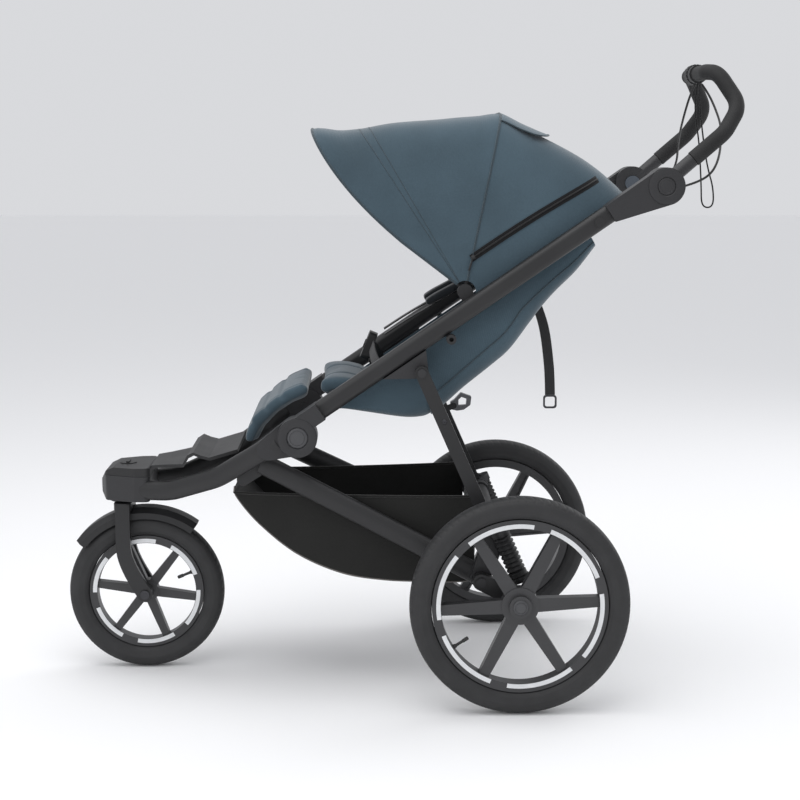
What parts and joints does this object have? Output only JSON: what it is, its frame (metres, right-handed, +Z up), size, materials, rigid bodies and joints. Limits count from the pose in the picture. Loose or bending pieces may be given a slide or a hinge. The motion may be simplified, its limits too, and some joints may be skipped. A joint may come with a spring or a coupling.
{
  "type": "baby stroller",
  "caption": "Three-wheeled folding baby stroller with a deep seat, folding canopy, sprung spoked rear wheels, swivelling front wheel, storage basket and twist-brake handlebar.",
  "frame": {"origin": "on the floor, under the middle of the stroller's length and width", "axes": "+Z up, +Y towards the handlebar, +X towards the child's left side; the front wheel is at -Y"},
  "size_m": [0.669, 1.2782, 1.1774],
  "materials": {
    "frame_tube": "satin",
    "leg_plate": "satin",
    "housing": "satin",
    "dark_plastic": "matte",
    "cap_plastic": "satin",
    "button_plastic": "satin",
    "fork_metal": "satin",
    "axle_steel": "satin",
    "latch_grey": "satin",
    "bar_metal": "satin",
    "wheel_plastic": "satin",
    "tyre": "matte",
    "boot_rubber": "matte",
    "grip_foam": "matte",
    "cable_jacket": "satin",
    "shell_fabric": "matte",
    "pad_fabric": "matte",
    "basket_fabric": "matte",
    "webbing": "matte"
  },
  "bodies": {
    "upper_frame": {"upper_frame_tubes": "frame_tube", "hinge_housings": "housing", "hinge_caps": "cap_plastic", "handle_hub_housings": "housing", "leg_brackets": "housing", "tube_fittings": "dark_plastic", "seat_base": "shell_fabric", "seat_pad": "shell_fabric", "calf_pad": "shell_fabric", "seat_sides": "shell_fabric", "harness_buckle": "dark_plastic", "crotch_strap": "webbing", "canopy_rear_cover": "shell_fabric", "canopy_rear_bow": "dark_plastic"},
    "front_frame": {"front_tubes": "frame_tube", "hinge_inner_discs": "housing", "steering_head": "housing", "steering_head_cap": "dark_plastic", "footrest": "dark_plastic"},
    "swivel_lock": {"swivel_lock_dial": "dark_plastic"},
    "fork": {"fork": "fork_metal", "front_axle": "axle_steel", "fender": "dark_plastic"},
    "front_wheel": {"front_tyre": "tyre", "front_rim": "wheel_plastic"},
    "rear_frame": {"rear_legs": "leg_plate", "suspension_housings": "housing", "rear_cross_tube": "dark_plastic", "suspension_boot_left": "boot_rubber", "suspension_boot_right": "boot_rubber"},
    "brake_pedal": {"brake_pedal": "dark_plastic"},
    "fold_latch": {"fold_latch": "latch_grey"},
    "swing_arm_left": {"swing_arm_left": "fork_metal"},
    "swing_arm_right": {"swing_arm_right": "fork_metal"},
    "rear_wheel_left": {"rear_tyre_left": "tyre", "rear_rim_left": "wheel_plastic", "rear_hub_cap_left": "cap_plastic"},
    "rear_wheel_right": {"rear_tyre_right": "tyre", "rear_rim_right": "wheel_plastic", "rear_hub_cap_right": "cap_plastic"},
    "lower_frame": {"lower_tubes": "frame_tube", "basket": "basket_fabric"},
    "backrest": {"backrest_shell": "shell_fabric", "backrest_pad": "pad_fabric", "harness_straps": "webbing", "shoulder_pads": "pad_fabric", "recline_strap": "webbing", "strap_ring": "axle_steel"},
    "buckle_button": {"buckle_button": "dark_plastic"},
    "canopy_front": {"canopy_front_cover": "shell_fabric", "canopy_front_bow": "dark_plastic"},
    "handlebar": {"handlebar_tube": "bar_metal", "handlebar_hubs": "housing", "grips": "grip_foam", "brake_collar": "dark_plastic", "brake_cables": "cable_jacket", "wrist_strap": "webbing"},
    "hub_button_left": {"hub_button_left": "button_plastic"},
    "hub_button_right": {"hub_button_right": "button_plastic"},
    "brake_twist_ring": {"brake_twist_ring": "dark_plastic"}
  },
  "joints": [
    {"name": "front_fold", "type": "hinge", "parent": "upper_frame", "child": "front_frame", "pos_m": [0, -0.17745, 0.49332], "axis": [1, 0, 0], "range_deg": [0, 118], "deforming": ["basket"]},
    {"name": "leg_fold", "type": "hinge", "parent": "upper_frame", "child": "rear_frame", "pos_m": [0, 0.04952, 0.61329], "axis": [1, 0, 0], "range_deg": [0, 64.7]},
    {"name": "lower_tube_fold", "type": "hinge", "parent": "rear_frame", "child": "lower_frame", "pos_m": [0, 0.158, 0.23], "axis": [1, 0, 0], "range_deg": [-30.4, 0]},
    {"name": "swivel_lock_turn", "type": "hinge", "parent": "front_frame", "child": "swivel_lock", "pos_m": [0, -0.518, 0.405], "axis": [0, 0, 1], "range_deg": [0, 90]},
    {"name": "fork_swivel", "type": "hinge", "parent": "front_frame", "child": "fork", "pos_m": [0, -0.5287, 0.35], "axis": [0, 0, 1], "continuous": true},
    {"name": "front_wheel_spin", "type": "hinge", "parent": "fork", "child": "front_wheel", "pos_m": [0, -0.486, 0.1525], "axis": [1, 0, 0], "continuous": true},
    {"name": "suspension_left", "type": "hinge", "parent": "rear_frame", "child": "swing_arm_left", "pos_m": [0, 0.158, 0.23], "axis": [1, 0, 0], "range_deg": [0, 12], "stiffness_Nm_per_rad": 40, "springref_deg": -17.19, "deforming": ["suspension_boot_left"]},
    {"name": "suspension_right", "type": "hinge", "parent": "rear_frame", "child": "swing_arm_right", "pos_m": [0, 0.158, 0.23], "axis": [1, 0, 0], "range_deg": [0, 12], "stiffness_Nm_per_rad": 40, "springref_deg": -17.19, "deforming": ["suspension_boot_right"]},
    {"name": "rear_wheel_spin_left", "type": "hinge", "parent": "swing_arm_left", "child": "rear_wheel_left", "pos_m": [0.31, 0.225, 0.2], "axis": [1, 0, 0], "continuous": true},
    {"name": "rear_wheel_spin_right", "type": "hinge", "parent": "swing_arm_right", "child": "rear_wheel_right", "pos_m": [-0.31, 0.225, 0.2], "axis": [1, 0, 0], "continuous": true},
    {"name": "brake_pedal_press", "type": "hinge", "parent": "rear_frame", "child": "brake_pedal", "pos_m": [0, 0.222, 0.3], "axis": [1, 0, 0], "range_deg": [-25, 0]},
    {"name": "fold_latch_swing", "type": "hinge", "parent": "rear_frame", "child": "fold_latch", "pos_m": [-0.23, 0.131, 0.487], "axis": [1, 0, 0], "range_deg": [0, 20]},
    {"name": "backrest_recline", "type": "hinge", "parent": "upper_frame", "child": "backrest", "pos_m": [0, 0.058, 0.532], "axis": [1, 0, 0], "range_deg": [-16, 0], "deforming": ["harness_straps"]},
    {"name": "buckle_press", "type": "slide", "parent": "upper_frame", "child": "buckle_button", "axis": [0, 0.9272, -0.3746], "range_m": [0, 0.0025], "stiffness_N_per_m": 400, "springref_m": -0.001},
    {"name": "canopy_fold", "type": "hinge", "parent": "upper_frame", "child": "canopy_front", "pos_m": [0, 0.13, 0.75704], "axis": [1, 0, 0], "range_deg": [-45, 0], "deforming": ["canopy_front_cover"]},
    {"name": "handlebar_tilt", "type": "hinge", "parent": "upper_frame", "child": "handlebar", "pos_m": [0, 0.48984, 0.94876], "axis": [1, 0, 0], "range_deg": [-50, 20], "deforming": ["brake_cables"]},
    {"name": "hub_button_press_left", "type": "slide", "parent": "handlebar", "child": "hub_button_left", "axis": [1, 0, 0], "range_m": [0, 0.0035], "stiffness_N_per_m": 500, "springref_m": -0.001},
    {"name": "hub_button_press_right", "type": "slide", "parent": "handlebar", "child": "hub_button_right", "axis": [-1, 0, 0], "range_m": [0, 0.0035], "stiffness_N_per_m": 500, "springref_m": -0.001},
    {"name": "brake_twist", "type": "hinge", "parent": "handlebar", "child": "brake_twist_ring", "pos_m": [-0.026, 0.583, 1.158], "axis": [1, 0, 0], "range_deg": [0, 60], "stiffness_Nm_per_rad": 0.6, "springref_deg": -11.46}
  ],
  "couplings": [
    {"joint": "leg_fold", "follows": "front_fold", "ratio": 0.547},
    {"joint": "lower_tube_fold", "follows": "front_fold", "ratio": -0.2565}
  ]
}
